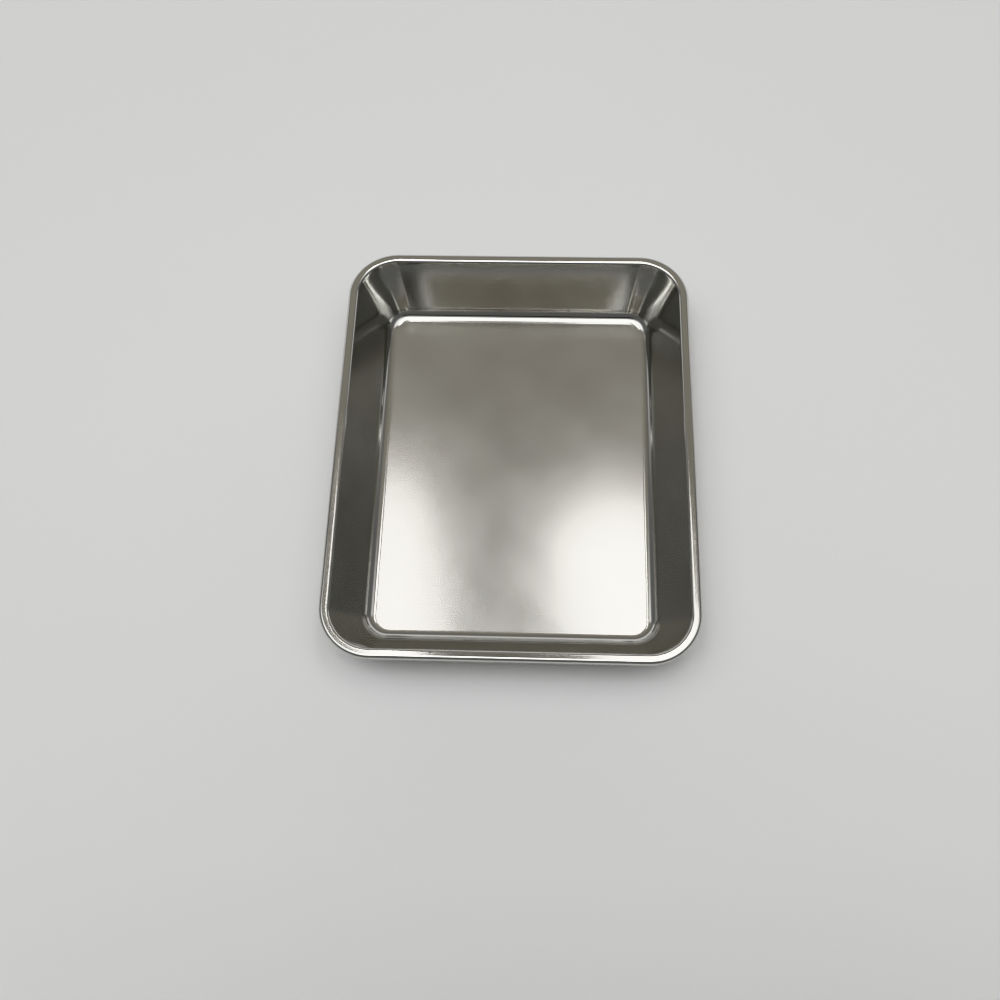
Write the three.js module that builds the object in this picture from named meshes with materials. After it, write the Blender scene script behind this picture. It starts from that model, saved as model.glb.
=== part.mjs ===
// A stainless-steel developing tray of cabinet size. The pan is drawn from one sheet: a flat floor,
// flared walls, conical corners, and a rim that is bent out, rolled down and tucked under around a
// stiffening wire. Millimetres, +Z up, +Y along the tray, origin under the middle of the floor.
import * as THREE from "three";

// Driving dimensions
const WIDTH = 172; // over the rolled rim, along X
const LENGTH = 213; // over the rolled rim, along Y
const HEIGHT = 31.4; // underside of the floor to the top of the rim
const SHEET = 0.6; // thickness of the steel sheet
const WALL_ANGLE = THREE.MathUtils.degToRad(66.5); // wall above the horizontal
const FLOOR_FILLET = 6.6; // inner face, between floor and wall
const FOOT_CORNER = 12.5; // plan radius of a corner at the foot of the wall, inner face
const RIM_CORNER = 24.5; // plan radius of a corner over the rim
const BEAD_HEIGHT = 4; // top of the rim to the underside of the roll
const BEAD_BEND = 1.8; // outside radius of each bend in the rim
const BEAD_FLAT = 1.5; // flat on top of the rim, between its two bends
const SEAM_GAP = 0.5; // left open between the rolled edge and the wall
const WIRE_DIAMETER = 2.2;
const WIRE_CLEARANCE = 0.3; // above and below the wire
const WIRE_SIDE_CLEARANCE = 0.45; // between the wire and the outside of the roll
const WIRE_BUTT_GAP = 1; // between the two ends of the wire, in the middle of the far side

// Facets
const CORNER_STEPS = 10; // in each corner of the plan
const BEND_DIVISIONS = 2; // half the facets in each bend of the section
const WIRE_SIDES = 12;

// Places worked out from the dimensions
const RIM_EDGE = WIDTH / 2;
const EXTRA_LENGTH = (LENGTH - WIDTH) / 2;
const OUTER_BEND_X = RIM_EDGE - BEAD_BEND;
const INNER_BEND_X = OUTER_BEND_X - BEAD_FLAT;
const UPPER_BEND_Z = HEIGHT - BEAD_BEND;
const LOWER_BEND_Z = HEIGHT - BEAD_HEIGHT + BEAD_BEND;
const WALL_TOP_X = INNER_BEND_X - BEAD_BEND * Math.sin(WALL_ANGLE);
const WALL_TOP_Z = UPPER_BEND_Z + BEAD_BEND * Math.cos(WALL_ANGLE);
const WALL_FOOT_Z = SHEET + FLOOR_FILLET * (1 - Math.cos(WALL_ANGLE));
const WALL_FOOT_X = WALL_TOP_X - (WALL_TOP_Z - WALL_FOOT_Z) / Math.tan(WALL_ANGLE);
const FLOOR_EDGE_X = WALL_FOOT_X - FLOOR_FILLET * Math.sin(WALL_ANGLE);

// x on the outside of the wall at a height
function wallBackX(z) {
  return WALL_TOP_X - (WALL_TOP_Z - z) / Math.tan(WALL_ANGLE) + SHEET / Math.sin(WALL_ANGLE);
}

// How far from the tray's middle plane a corner's centre lies: it moves out steadily up the wall.
function cornerCentre(z) {
  const share = THREE.MathUtils.clamp((z - WALL_FOOT_Z) / (WALL_TOP_Z - WALL_FOOT_Z), 0, 1);
  return THREE.MathUtils.lerp(WALL_FOOT_X - FOOT_CORNER, RIM_EDGE - RIM_CORNER, share);
}

// One face of the sheet in section, from the floor's edge to the tucked-in lip.
// Depth 0 is the face that shows, and depth SHEET is the face behind it.
function sheetFace(depth) {
  const bend = BEAD_BEND - depth;
  const quarter = Math.PI / 2;
  const lipTop = HEIGHT - BEAD_HEIGHT + SHEET;
  const face = new THREE.Path();
  face.absarc(FLOOR_EDGE_X, SHEET + FLOOR_FILLET, FLOOR_FILLET + depth, -quarter, WALL_ANGLE - quarter);
  face.absarc(INNER_BEND_X, UPPER_BEND_Z, bend, WALL_ANGLE + quarter, quarter, true);
  face.absarc(OUTER_BEND_X, UPPER_BEND_Z, bend, quarter, 0, true);
  face.absarc(OUTER_BEND_X, LOWER_BEND_Z, bend, 0, -quarter, true);
  face.lineTo(wallBackX(lipTop) + SEAM_GAP, HEIGHT - BEAD_HEIGHT + depth);
  return face.getPoints(BEND_DIVISIONS);
}

// A rounded rectangle seen from above, anticlockwise from the middle of the far side.
// Each point has the angle in which it faces out.
function outline(halfWidth, cornerX) {
  const radius = halfWidth - cornerX;
  const points = [];
  for (let corner = 1; corner <= 4; corner++) {
    const middle = (corner * Math.PI) / 2 + Math.PI / 4;
    const centreX = Math.sign(Math.cos(middle)) * cornerX;
    const centreY = Math.sign(Math.sin(middle)) * (cornerX + EXTRA_LENGTH);
    for (let step = 0; step <= CORNER_STEPS; step++) {
      const angle = middle + (step / CORNER_STEPS - 0.5) * (Math.PI / 2);
      const x = centreX + radius * Math.cos(angle);
      const y = centreY + radius * Math.sin(angle);
      points.push({ x, y, angle });
    }
  }
  return points;
}

// A closed skin through rings of equally many points, with both end rings filled.
function loft(rings) {
  const count = rings[0].length;
  const last = (rings.length - 1) * count;
  const index = [];
  for (let start = 0; start < last; start += count) {
    for (let i = 0; i < count; i++) {
      const a = start + i;
      const b = start + ((i + 1) % count);
      index.push(a, a + count, b + count);
      index.push(a, b + count, b);
    }
  }
  for (let i = 1; i + 1 < count; i++) {
    index.push(0, i, i + 1);
    index.push(last, last + i + 1, last + i);
  }
  const geometry = new THREE.BufferGeometry().setFromPoints(rings.flat());
  geometry.setIndex(index);
  geometry.computeVertexNormals();
  return geometry;
}

// The pan: up the face that shows, round the lip, and back down the face behind.
function trayPan() {
  const section = [...sheetFace(0), ...sheetFace(SHEET).reverse()];
  const rings = section.map(({ x: halfWidth, y: height }) =>
    outline(halfWidth, cornerCentre(height)).map(({ x, y }) => new THREE.Vector3(x, y, height)),
  );
  return loft(rings);
}

// The wire inside the roll, bent from one length, with its ends meeting in a butt joint.
function rimWire() {
  const radius = WIRE_DIAMETER / 2;
  const centreX = RIM_EDGE - SHEET - WIRE_SIDE_CLEARANCE - radius;
  const centreZ = HEIGHT - SHEET - WIRE_CLEARANCE - radius;
  const farY = centreX + EXTRA_LENGTH;
  const facingFar = Math.PI / 2;
  const route = [
    { x: -WIRE_BUTT_GAP / 2, y: farY, angle: facingFar },
    ...outline(centreX, cornerCentre(HEIGHT)),
    { x: WIRE_BUTT_GAP / 2, y: farY, angle: facingFar },
  ];
  const rings = route.map(({ x, y, angle }) => {
    const ring = [];
    for (let side = 0; side < WIRE_SIDES; side++) {
      const turn = (2 * Math.PI * side) / WIRE_SIDES;
      const reach = radius * Math.cos(turn);
      const rise = radius * Math.sin(turn);
      ring.push(new THREE.Vector3(x + reach * Math.cos(angle), y + reach * Math.sin(angle), centreZ + rise));
    }
    return ring;
  });
  return loft(rings);
}

function namedMesh(name, geometry, material) {
  const mesh = new THREE.Mesh(geometry, material);
  mesh.name = name;
  return mesh;
}

const satinSteel = new THREE.MeshStandardMaterial({ color: 0xc9c5bb, roughness: 0.3, metalness: 1 });
const drawnWire = new THREE.MeshStandardMaterial({ color: 0x9c9a96, roughness: 0.4, metalness: 1 });

const tray = new THREE.Group();
tray.add(namedMesh("tray_pan", trayPan(), satinSteel));
tray.add(namedMesh("rim_wire", rimWire(), drawnWire));

export default tray;
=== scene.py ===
"""A stainless-steel developing tray on a pale table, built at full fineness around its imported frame."""

import math

import bpy
from mathutils import Matrix, Vector


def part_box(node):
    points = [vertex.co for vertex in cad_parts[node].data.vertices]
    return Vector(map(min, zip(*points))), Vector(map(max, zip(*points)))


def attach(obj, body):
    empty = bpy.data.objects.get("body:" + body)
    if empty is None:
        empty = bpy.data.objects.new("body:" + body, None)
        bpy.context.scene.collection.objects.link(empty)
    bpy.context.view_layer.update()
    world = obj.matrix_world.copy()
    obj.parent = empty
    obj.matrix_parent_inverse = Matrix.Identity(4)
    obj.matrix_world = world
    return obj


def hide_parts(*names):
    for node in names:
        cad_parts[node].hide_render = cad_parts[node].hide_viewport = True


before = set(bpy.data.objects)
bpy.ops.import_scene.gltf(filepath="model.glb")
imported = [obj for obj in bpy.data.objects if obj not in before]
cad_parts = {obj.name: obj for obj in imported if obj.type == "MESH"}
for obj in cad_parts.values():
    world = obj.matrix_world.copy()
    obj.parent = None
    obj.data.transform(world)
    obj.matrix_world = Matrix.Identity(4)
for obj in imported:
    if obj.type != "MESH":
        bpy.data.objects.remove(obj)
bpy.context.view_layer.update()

MM = 0.001
QUARTER = math.pi / 2

# ---------------------------------------------------------------- dimensions
# The overall sizes come from the frame, and the rest repeats the driving dimensions of the solids.
pan_low, pan_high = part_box("tray_pan")
wire_low, wire_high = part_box("rim_wire")
WIDTH = pan_high.x - pan_low.x
LENGTH = pan_high.y - pan_low.y
HEIGHT = pan_high.z
SHEET = 0.6 * MM
WALL_ANGLE = math.radians(66.5)
FLOOR_FILLET = 6.6 * MM
FOOT_CORNER = 12.5 * MM
RIM_CORNER = 24.5 * MM
BEAD_HEIGHT = 4 * MM
BEAD_BEND = 1.8 * MM
BEAD_FLAT = 1.5 * MM
SEAM_GAP = 0.5 * MM
WIRE_BUTT_GAP = 1 * MM

# How much further out than a side wall an end wall's shading leans, at its top and at its foot
END_TOP_LEAN = math.radians(4.8)
END_FOOT_LEAN = math.radians(6.48)

# The section of the sheet's upper face, from the rim down to the floor
RIM_EDGE = WIDTH / 2
EXTRA_LENGTH = (LENGTH - WIDTH) / 2
OUTER_BEND_X = RIM_EDGE - BEAD_BEND
INNER_BEND_X = OUTER_BEND_X - BEAD_FLAT
UPPER_BEND_Z = HEIGHT - BEAD_BEND
LOWER_BEND_Z = HEIGHT - BEAD_HEIGHT + BEAD_BEND
WALL_TOP_X = INNER_BEND_X - BEAD_BEND * math.sin(WALL_ANGLE)
WALL_TOP_Z = UPPER_BEND_Z + BEAD_BEND * math.cos(WALL_ANGLE)
WALL_FOOT_Z = SHEET + FLOOR_FILLET * (1 - math.cos(WALL_ANGLE))
WALL_FOOT_X = WALL_TOP_X - (WALL_TOP_Z - WALL_FOOT_Z) / math.tan(WALL_ANGLE)
FLOOR_EDGE_X = WALL_FOOT_X - FLOOR_FILLET * math.sin(WALL_ANGLE)

# Fineness of the meshes
CORNER_STEPS = 40
BEND_STEPS = 14
WALL_STEPS = 24
FLOOR_RINGS = 14
STRAIGHT_STEPS = 12
WIRE_SIDES = 24
STAGE_SIDES = 96


# ---------------------------------------------------------------- section and plan
def arc(centre_x, centre_z, radius, start, end, hollow=False):
    """Points (x, z, facing x, facing z) round an arc of the section. A hollow arc faces its centre."""
    side = -1 if hollow else 1
    points = []
    for step in range(BEND_STEPS + 1):
        angle = start + (end - start) * step / BEND_STEPS
        c, s = math.cos(angle), math.sin(angle)
        points.append((centre_x + radius * c, centre_z + radius * s, side * c, side * s))
    return points


def between(first, last, steps):
    """Points on the straight line from one point to another, without its ends."""
    shares = [step / steps for step in range(1, steps)]
    return [tuple(a + (b - a) * share for a, b in zip(first, last)) for share in shares]


def sheet_face(depth):
    """One face of the sheet in section, from the floor's edge to the lip. Depth 0 is the upper face."""
    back = depth > 0
    bend = BEAD_BEND - depth
    fillet = FLOOR_FILLET + depth
    foot_bend = arc(FLOOR_EDGE_X, SHEET + FLOOR_FILLET, fillet, -QUARTER, WALL_ANGLE - QUARTER, not back)
    inner_bend = arc(INNER_BEND_X, UPPER_BEND_Z, bend, WALL_ANGLE + QUARTER, QUARTER, back)
    outer_bend = arc(OUTER_BEND_X, UPPER_BEND_Z, bend, QUARTER, 0, back)
    lower_bend = arc(OUTER_BEND_X, LOWER_BEND_Z, bend, 0, -QUARTER, back)
    wall = between(foot_bend[-1], inner_bend[0], WALL_STEPS)
    return foot_bend + wall + inner_bend + outer_bend + lower_bend


def wall_back_x(z):
    """x on the outside of the wall at height z."""
    return WALL_TOP_X - (WALL_TOP_Z - z) / math.tan(WALL_ANGLE) + SHEET / math.sin(WALL_ANGLE)


def lip():
    """The rounded edge of the sheet, where it is tucked in under the rim."""
    edge = SHEET / 2
    x = wall_back_x(HEIGHT - BEAD_HEIGHT + SHEET) + SEAM_GAP + edge
    return arc(x, HEIGHT - BEAD_HEIGHT + edge, edge, -QUARTER, -3 * QUARTER)


def up_wall(z):
    """How far up the flat of the wall a height is: 0 at its foot, 1 at its top."""
    return (z - WALL_FOOT_Z) / (WALL_TOP_Z - WALL_FOOT_Z)


def corner_centre(z):
    """How far a corner's centre lies from the tray's middle plane: it moves out steadily up the wall."""
    share = min(1.0, max(0.0, up_wall(z)))
    low, high = WALL_FOOT_X - FOOT_CORNER, RIM_EDGE - RIM_CORNER
    return low + (high - low) * share


def outline(half_width, corner_x):
    """A rounded rectangle, anticlockwise from the middle of the far side: (x, y, the angle it faces)."""
    radius = half_width - corner_x
    half_length = half_width + EXTRA_LENGTH
    corners = []
    for corner in range(1, 5):
        middle = corner * QUARTER + QUARTER / 2
        centre_x = math.copysign(corner_x, math.cos(middle))
        centre_y = math.copysign(corner_x + EXTRA_LENGTH, math.sin(middle))
        points = []
        for step in range(CORNER_STEPS + 1):
            turn = middle + (step / CORNER_STEPS - 0.5) * QUARTER
            points.append((centre_x + radius * math.cos(turn), centre_y + radius * math.sin(turn), turn))
        corners.append(points)
    start = (0.0, half_length, QUARTER)
    end = (0.0, half_length, 5 * QUARTER)
    points = [start] + between(start, corners[0][0], STRAIGHT_STEPS // 2)
    for corner, following in zip(corners, corners[1:]):
        points += corner + between(corner[-1], following[0], STRAIGHT_STEPS)
    return points + corners[-1] + between(corners[-1][-1], end, STRAIGHT_STEPS // 2)


# ---------------------------------------------------------------- meshes
def link(name, data):
    made = bpy.data.objects.new(name, data)
    bpy.context.scene.collection.objects.link(made)
    return made


def lofted(name, rings):
    """A mesh piece through rings of (position, normal) pairs. The first and last ring are filled."""
    count = len(rings[0])
    vertices = [position for ring in rings for position, _ in ring]
    normals = [normal for ring in rings for _, normal in ring]
    faces = [list(range(count))]
    for k in range(len(rings) - 1):
        for i in range(count):
            a, b = k * count + i, k * count + (i + 1) % count
            faces.append([a, a + count, b + count, b])
    last = (len(rings) - 1) * count
    faces.append([last + i for i in reversed(range(count))])
    mesh = bpy.data.meshes.new(name)
    mesh.from_pydata(vertices, [], faces)
    mesh.polygons.foreach_set("use_smooth", [True] * len(mesh.polygons))
    mesh.validate()
    mesh.normals_split_custom_set_from_vertices(normals)
    return link(name, mesh)


def corner_lean(z, angle):
    """How much further than a straight wall a corner leans out at this height, in radians."""
    share = up_wall(z)
    if not 0 < share < 1:
        return 0.0
    drift = (corner_centre(WALL_TOP_Z) - corner_centre(WALL_FOOT_Z)) / (WALL_TOP_Z - WALL_FOOT_Z)
    straight = 1 / math.tan(WALL_ANGLE)
    leaning = straight + drift * (abs(math.cos(angle)) + abs(math.sin(angle)) - 1)
    fade = math.sqrt(4 * share * (1 - share))
    return (math.atan(leaning) - math.atan(straight)) * fade


def end_lean(z, angle):
    """How much further than a side wall an end wall leans out between its bends, in radians."""
    share = up_wall(z)
    between_bends = min(1.0, max(0.0, WALL_STEPS * min(share, 1 - share)))
    lean = END_FOOT_LEAN + (END_TOP_LEAN - END_FOOT_LEAN) * share
    return lean * math.sin(angle) ** 2 * between_bends


def section_ring(point):
    """The ring that one point of the section makes round the tray."""
    x, z, facing_x, facing_z = point
    ring = []
    for px, py, angle in outline(x, corner_centre(z)):
        tilt = math.atan2(facing_z, facing_x) - corner_lean(z, angle) - end_lean(z, angle)
        outward, up = math.cos(tilt), math.sin(tilt)
        normal = Vector((outward * math.cos(angle), outward * math.sin(angle), up))
        ring.append((Vector((px, py, z)), normal))
    return ring


def floor_rings(z, up):
    """Rings of one face of the floor, from near its middle to its edge."""
    edge = outline(FLOOR_EDGE_X, corner_centre(z))
    rings = []
    for k in range(1, FLOOR_RINGS):
        share = k / FLOOR_RINGS
        rings.append([(Vector((x * share, y * share, z)), Vector((0, 0, up))) for x, y, _ in edge])
    return rings


def make_pan():
    """The one pressed sheet, from the middle of the floor out over the rim and back underneath."""
    section = sheet_face(0) + lip() + sheet_face(SHEET)[::-1]
    rings = floor_rings(SHEET, 1) + [section_ring(point) for point in section]
    rings += floor_rings(0, -1)[::-1]
    return lofted("pressed_pan", rings)


def make_wire():
    """The wire inside the roll of the rim. Its ends meet at the middle of the far side."""
    radius = (wire_high.z - wire_low.z) / 2
    centre_x = wire_high.x - radius
    centre_z = (wire_high.z + wire_low.z) / 2
    far_y = centre_x + EXTRA_LENGTH
    half_gap = WIRE_BUTT_GAP / 2
    route = [(-half_gap, far_y, QUARTER)] + outline(centre_x, corner_centre(HEIGHT))[1:]
    route.append((half_gap, far_y, 5 * QUARTER))
    rings = []
    for x, y, angle in route:
        ring = []
        for side in range(WIRE_SIDES):
            turn = 2 * math.pi * side / WIRE_SIDES
            out, up = math.cos(turn), math.sin(turn)
            normal = Vector((out * math.cos(angle), out * math.sin(angle), up))
            ring.append((Vector((x, y, centre_z)) + radius * normal, normal))
        rings.append(ring)
    return lofted("rim_core_wire", rings)


# ---------------------------------------------------------------- materials
class Nodes:
    """Short ways to make and join the nodes of one material or world."""

    def __init__(self, tree):
        self.tree = tree
        tree.nodes.clear()

    def add(self, kind, settings=None, **inputs):
        node = self.tree.nodes.new(kind)
        for name, value in (settings or {}).items():
            setattr(node, name, value)
        for name, value in inputs.items():
            self.put(node, name.replace("_", " "), value)
        return node

    def put(self, node, socket, value):
        target = node.inputs[socket]
        if isinstance(value, bpy.types.NodeSocket):
            self.tree.links.new(value, target)
        else:
            target.default_value = value

    def noise(self, where, scale, detail=2.0, roughness=0.5):
        node = self.add("ShaderNodeTexNoise", Vector=where, Scale=scale, Detail=detail, Roughness=roughness)
        return node.outputs["Fac"]

    def span(self, value, from_low, from_high, to_low, to_high):
        """Value carried from one range to another, held at the ends."""
        ends = {"From_Min": from_low, "From_Max": from_high, "To_Min": to_low, "To_Max": to_high}
        return self.add("ShaderNodeMapRange", Value=value, **ends).outputs["Result"]

    def fade(self, value, from_low, from_high, to_low, to_high):
        """As span, with soft ends."""
        result = self.span(value, from_low, from_high, to_low, to_high)
        result.node.interpolation_type = "SMOOTHSTEP"
        return result

    def maths(self, operation, a, b=0.0):
        node = self.add("ShaderNodeMath", {"operation": operation})
        self.put(node, 0, a)
        self.put(node, 1, b)
        return node.outputs[0]

    def vector(self, operation, *inputs):
        node = self.add("ShaderNodeVectorMath", {"operation": operation})
        for index, value in enumerate(inputs):
            self.put(node, index, value)
        return node.outputs[0]

    def ramp(self, value, *stops):
        """Colours by value, from (position, (red, green, blue)) stops."""
        node = self.add("ShaderNodeValToRGB", Fac=value)
        elements = node.color_ramp.elements
        while len(elements) < len(stops):
            elements.new(1.0)
        for element, (position, colour) in zip(elements, stops):
            element.position = position
            element.color = (*colour, 1)
        return node.outputs["Color"]

    def place(self):
        return self.add("ShaderNodeTexCoord").outputs["Object"]

    def shade(self, shader):
        self.put(self.add("ShaderNodeOutputMaterial"), "Surface", shader.outputs["BSDF"])


def new_material(name):
    material = bpy.data.materials.new(name)
    material.use_nodes = True
    return material, Nodes(material.node_tree)


def satin_sheet_steel():
    """Satin on the floor and drawn smoother on the walls, with faint marks of the rolling and drawing."""
    material, n = new_material("satin_sheet_steel")
    place = n.place()
    facing = n.add("ShaderNodeNewGeometry").outputs["Normal"]
    height = n.add("ShaderNodeSeparateXYZ", Vector=place).outputs["Z"]
    above_floor = (SHEET + 0.01 * MM, SHEET + 0.2 * MM)
    up_bead = (HEIGHT - 3 * MM, HEIGHT - 1 * MM)

    clouds = n.noise(place, 35, 3)
    grain = n.noise(place, 1700, 3, 0.6)
    tone = n.ramp(clouds, (0.3, (0.645, 0.639, 0.612)), (0.7, (0.67, 0.664, 0.636)))

    satin = n.fade(height, *above_floor, 0.2, 0.11)
    uneven = n.span(clouds, 0.3, 0.7, -0.015, 0.015)
    speckle = n.span(grain, 0.3, 0.7, -0.02, 0.02)
    roughness = n.maths("ADD", n.maths("ADD", satin, uneven), speckle)

    # These change only with the way a wall faces, so they run straight up the walls and corners.
    compass = n.vector("NORMALIZE", n.vector("MULTIPLY", facing, (1, 1, 0)))
    drawing_marks = n.noise(compass, 26, 3, 0.6)

    # These change quickly round the bead's section and slowly along it.
    round_bead = n.vector("MULTIPLY", facing, (0, 0, 1))
    along_bead = n.vector("MULTIPLY_ADD", place, (1.2, 1.2, 0), round_bead)
    bead_lines = n.maths("MULTIPLY", n.noise(along_bead, 40, 2), n.fade(height, *up_bead, 0, 1))

    mill_lines = n.noise(n.vector("MULTIPLY", place, (1, 0.04, 1)), 1400, 2)

    relief_mm = (
        (0.008, n.noise(place, 22, 1)),
        (0.004, drawing_marks),
        (0.002, bead_lines),
        (0.0004, mill_lines),
    )
    normal = None
    for depth, pattern in relief_mm:
        bump = n.add("ShaderNodeBump", Strength=1.0, Distance=depth * MM, Height=pattern)
        if normal:
            n.put(bump, "Normal", normal)
        normal = bump.outputs["Normal"]
    shader = n.add("ShaderNodeBsdfPrincipled", Base_Color=tone, Roughness=roughness, Normal=normal)
    shader.inputs["Metallic"].default_value = 1.0
    shader.inputs["Specular Tint"].default_value = (0.82, 0.82, 0.82, 1)
    n.shade(shader)
    return material


def wire_steel():
    """Plain drawn wire, darker and rougher than the sheet."""
    material, n = new_material("wire_steel")
    drawn = n.noise(n.place(), 900, 3)
    tone = n.ramp(drawn, (0.0, (0.46, 0.455, 0.44)), (1.0, (0.6, 0.595, 0.58)))
    roughness = n.span(drawn, 0.3, 0.7, 0.25, 0.4)
    bump = n.add("ShaderNodeBump", Strength=0.5, Distance=0.01 * MM, Height=drawn)
    normal = bump.outputs["Normal"]
    shader = n.add("ShaderNodeBsdfPrincipled", Base_Color=tone, Roughness=roughness, Normal=normal)
    shader.inputs["Metallic"].default_value = 1.0
    n.shade(shader)
    return material


def pale_table():
    material, n = new_material("pale_table")
    tone = n.ramp(n.noise(n.place(), 6, 3), (0.0, (0.85, 0.85, 0.845)), (1.0, (0.87, 0.87, 0.865)))
    n.shade(n.add("ShaderNodeBsdfPrincipled", Base_Color=tone, Roughness=0.7))
    return material


def dark_card():
    material, n = new_material("dark_card")
    n.shade(n.add("ShaderNodeBsdfPrincipled", Base_Color=(0.04, 0.04, 0.04, 1), Roughness=0.8))
    return material


# ---------------------------------------------------------------- the object
pan = make_pan()
pan.data.materials.append(satin_sheet_steel())
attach(pan, "root")
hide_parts("tray_pan")

wire = make_wire()
wire.data.materials.append(wire_steel())
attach(wire, "root")
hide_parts("rim_wire")


# ---------------------------------------------------------------- the stage
TABLE_LEVEL = -0.05 * MM
TABLE_REACH = 1.3
SWEEP_RADIUS = 3.0
SWEEP_RISE = math.radians(75)
SWEEP_STEPS = 30

# The area lights face straight down: name, centre, width, length, radiance, colour, degrees turned.
CEILING = 1.5
WHITE = (1.0, 1.0, 1.0)
WARM_WHITE = (1.0, 0.99, 0.985)
PANELS = (
    ("left_strip", (-0.258, 0.358, CEILING), 0.057, 0.57, 7.7, WARM_WHITE, 6),
    ("right_strip", (0.232, 0.309, CEILING), 0.166, 0.55, 4.6, WARM_WHITE, 20),
    ("overhead", (-0.10, -0.22, CEILING), 0.7, 0.44, 3.4, WHITE, 0),
)

# The room is lit by direction. Its far part runs from a white backdrop at the horizon, position 0, to
# a dim and slightly warm ceiling straight above, position 1. Its sides are a little cool.
FAR_COLOURS = (
    (0.00, (0.75, 0.75, 0.75)),
    (0.36, (0.75, 0.75, 0.75)),
    (0.45, (0.235, 0.232, 0.22)),
    (0.60, (0.235, 0.229, 0.212)),
    (0.72, (0.28, 0.268, 0.245)),
    (0.84, (0.335, 0.318, 0.28)),
    (0.96, (0.175, 0.166, 0.146)),
    (1.00, (0.11, 0.105, 0.092)),
)
SIDE_COLOUR = (0.985, 0.995, 1.0, 1)

# The camera, solved from the tray's outline in the photograph
CAMERA_YAW = math.radians(-4.871)
CAMERA_PITCH = math.radians(67.408)
CAMERA_ROLL = math.radians(-3.462)
CAMERA_PLACE = Vector((0.0617, -1.2892, 2.8667)) * WIDTH + Vector((0, 0, SHEET))
SENSOR_WIDTH_MM = 36
FOCAL_SHARE = 1.0759

# The dark card, in metres in the camera's own axes
CARD_HALF_WIDTH = 0.17
CARD_HALF_HEIGHT = 0.05
CARD_PLACE = (0, -0.092, 0.02)


def turned(name, profile, material, filled=False):
    """A stage piece turned about the vertical axis from (radius, height) points, open or filled inside."""
    turns = [2 * math.pi * side / STAGE_SIDES for side in range(STAGE_SIDES)]
    vertices = [(radius * math.cos(t), radius * math.sin(t), z) for radius, z in profile for t in turns]
    faces = [tuple(range(STAGE_SIDES))] if filled else []
    for k in range(len(profile) - 1):
        for side in range(STAGE_SIDES):
            a, b = k * STAGE_SIDES + side, k * STAGE_SIDES + (side + 1) % STAGE_SIDES
            faces.append((a, a + STAGE_SIDES, b + STAGE_SIDES, b))
    mesh = bpy.data.meshes.new(name)
    mesh.from_pydata(vertices, [], faces)
    mesh.polygons.foreach_set("use_smooth", [True] * len(mesh.polygons))
    mesh.materials.append(material)
    made = link(name, mesh)
    return made


def make_table():
    """A round table top, and a pale sweep that only the camera sees rising behind it."""
    material = pale_table()
    turned("table", [(TABLE_REACH, TABLE_LEVEL)], material, filled=True)
    curve = []
    for step in range(SWEEP_STEPS + 1):
        turn = SWEEP_RISE * step / SWEEP_STEPS
        reach = TABLE_REACH + SWEEP_RADIUS * math.sin(turn)
        curve.append((reach, TABLE_LEVEL + SWEEP_RADIUS * (1 - math.cos(turn))))
    sweep = turned("sweep", curve, material)
    sweep.visible_glossy = False
    sweep.visible_diffuse = False
    sweep.visible_shadow = False


def panel(name, centre, width, length, radiance, colour, turn):
    """A flat light panel that faces straight down, turned about the vertical by so many degrees."""
    light = bpy.data.lights.new(name, "AREA")
    light.shape = "RECTANGLE"
    light.size = width
    light.size_y = length
    light.energy = radiance * math.pi * width * length
    light.color = colour
    lamp = link(name, light)
    lamp.location = centre
    lamp.rotation_euler = (0, 0, math.radians(turn))


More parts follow.
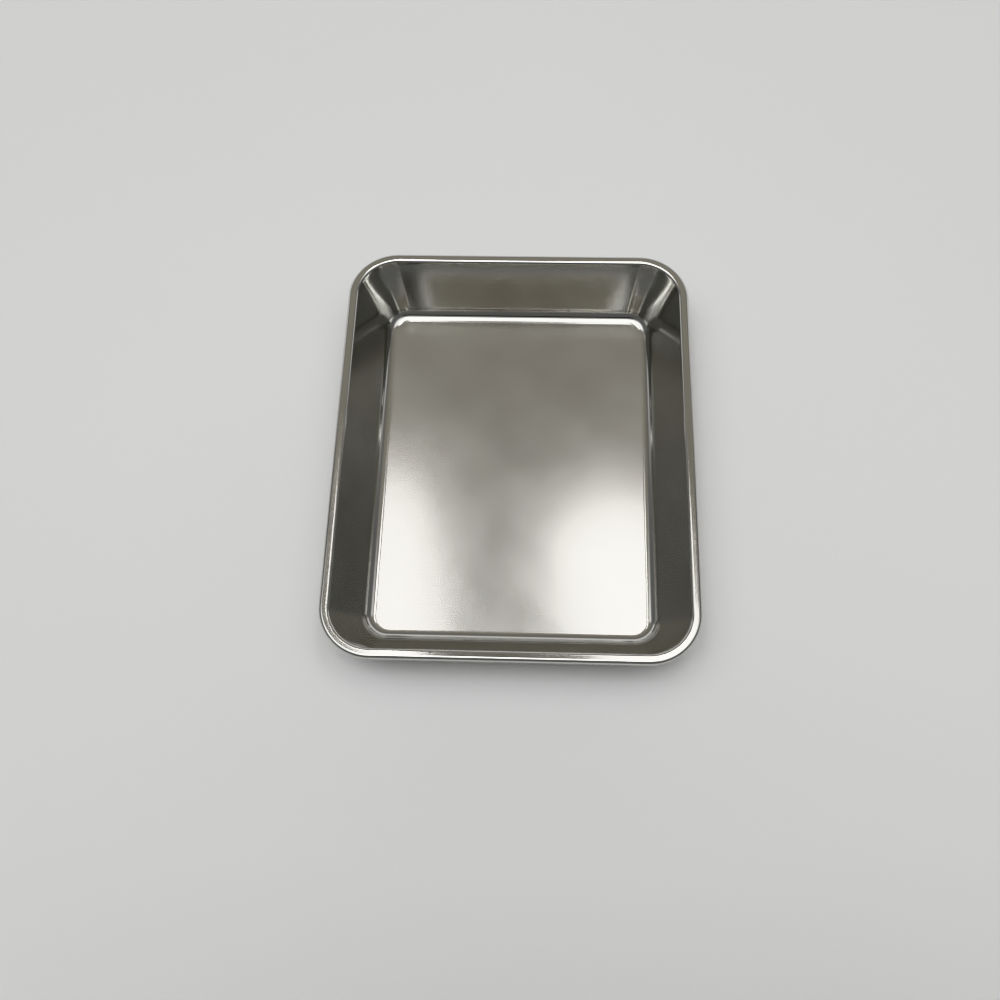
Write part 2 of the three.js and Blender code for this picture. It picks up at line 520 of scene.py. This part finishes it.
def make_world():
    """A bright ceiling to both sides, a dim one beyond the far side, and a white backdrop below that."""
    world = bpy.data.worlds.new("room")
    world.use_nodes = True
    n = Nodes(world.node_tree)
    direction = n.add("ShaderNodeTexCoord").outputs["Generated"]
    axes = n.add("ShaderNodeSeparateXYZ", Vector=direction)
    across, away, up = (axes.outputs[axis] for axis in "XYZ")

    past_sides = n.maths("SUBTRACT", away, n.maths("MULTIPLY", n.maths("ABSOLUTE", across), 0.45))
    far = n.fade(past_sides, -0.02, 0.16, 0, 1)
    not_far = n.maths("SUBTRACT", 1, far)
    dim_near = n.maths("MULTIPLY", n.fade(away, -0.60, -0.12, 0.12, 1), n.fade(across, 0.15, 0.6, 1, 0.6))
    ceiling = n.maths("MULTIPLY", n.fade(up, 0.66, 0.88, 0, 1.85), dim_near)
    walls = n.maths("MULTIPLY", n.fade(away, -0.7, -0.3, 0.18, 0.195), n.fade(up, 0.60, 0.88, 1, 0.6))
    sides = n.maths("MULTIPLY", n.maths("ADD", ceiling, walls), not_far)

    side_light = n.add("ShaderNodeBackground", Color=SIDE_COLOUR, Strength=sides)
    far_light = n.add("ShaderNodeBackground", Color=n.ramp(up, *FAR_COLOURS), Strength=far)
    both = n.add("ShaderNodeAddShader")
    n.put(both, 0, side_light.outputs["Background"])
    n.put(both, 1, far_light.outputs["Background"])
    n.put(n.add("ShaderNodeOutputWorld"), "Surface", both.outputs["Shader"])
    bpy.context.scene.world = world


def make_camera():
    """Looks down into the tray from in front of its near side."""
    ahead, down = math.cos(CAMERA_PITCH), math.sin(CAMERA_PITCH)
    forward = Vector((math.sin(CAMERA_YAW) * ahead, math.cos(CAMERA_YAW) * ahead, -down))
    level = Vector((math.cos(CAMERA_YAW), -math.sin(CAMERA_YAW), 0))
    raised = level.cross(forward)
    right = math.cos(CAMERA_ROLL) * level + math.sin(CAMERA_ROLL) * raised
    up = math.cos(CAMERA_ROLL) * raised - math.sin(CAMERA_ROLL) * level
    data = bpy.data.cameras.new("camera")
    data.sensor_width = SENSOR_WIDTH_MM
    data.lens = SENSOR_WIDTH_MM * FOCAL_SHARE
    data.clip_start = 0.01
    camera = link("camera", data)
    turn = Matrix((right, up, -forward)).transposed()
    camera.matrix_world = Matrix.Translation(CAMERA_PLACE) @ turn.to_4x4()
    bpy.context.scene.camera = camera


def make_camera_card():
    """A dark card just below the camera, which the steel mirrors as a thin dark line by the far fillet."""
    corners = [(-CARD_HALF_WIDTH, -CARD_HALF_HEIGHT, 0), (CARD_HALF_WIDTH, -CARD_HALF_HEIGHT, 0)]
    corners += [(CARD_HALF_WIDTH, CARD_HALF_HEIGHT, 0), (-CARD_HALF_WIDTH, CARD_HALF_HEIGHT, 0)]
    mesh = bpy.data.meshes.new("camera_card")
    mesh.from_pydata(corners, [], [[0, 1, 2, 3]])
    mesh.materials.append(dark_card())
    card = link("camera_card", mesh)
    card.matrix_world = bpy.context.scene.camera.matrix_world @ Matrix.Translation(CARD_PLACE)
    card.visible_camera = False


make_table()
make_world()
make_camera()
for settings in PANELS:
    panel(*settings)
make_camera_card()
bpy.context.scene.view_settings.view_transform = "Khronos PBR Neutral"
